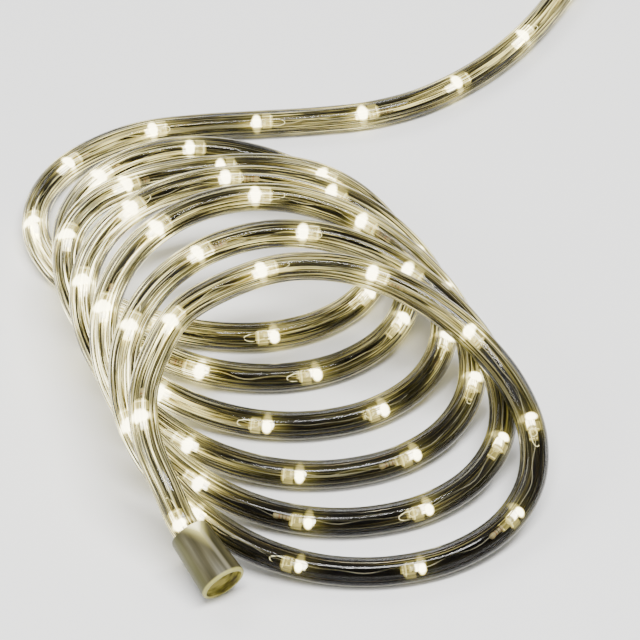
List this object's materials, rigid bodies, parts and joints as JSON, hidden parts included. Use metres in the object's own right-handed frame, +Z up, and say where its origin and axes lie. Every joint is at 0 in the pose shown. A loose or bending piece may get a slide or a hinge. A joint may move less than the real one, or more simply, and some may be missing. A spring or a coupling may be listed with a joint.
{
  "type": "led rope light",
  "caption": "Clear round LED rope light lying in a loose leaning coil, with lamps and resistors on a wire string inside, a moulded end cap and a feed socket.",
  "frame": {"origin": "middle of the plan box of the whole rope light, on the floor", "axes": "+Z up, +Y from the end cap at the front towards the feed end at the back, +X to the right as the picture shows it"},
  "size_m": [0.235, 0.5044, 0.059],
  "materials": {
    "clear_pvc": "clear, glossy extruded flexible PVC",
    "core_pvc": "translucent, slightly yellow extruded PVC",
    "tinned_copper": "bright copper wire",
    "lamp_string": "lit warm white lamps, banded resistors and tinned leads",
    "moulded_pvc": "translucent moulded PVC with a satin gloss",
    "contact_brass": "bright turned brass"
  },
  "bodies": {
    "root": {"jacket": "clear_pvc", "core": "core_pvc", "bus_wire_1": "tinned_copper", "bus_wire_2": "tinned_copper", "led_string": "lamp_string", "end_cap": "moulded_pvc", "feed_socket": "moulded_pvc", "contact_pin_1": "contact_brass", "contact_pin_2": "contact_brass"}
  },
  "joints": []
}
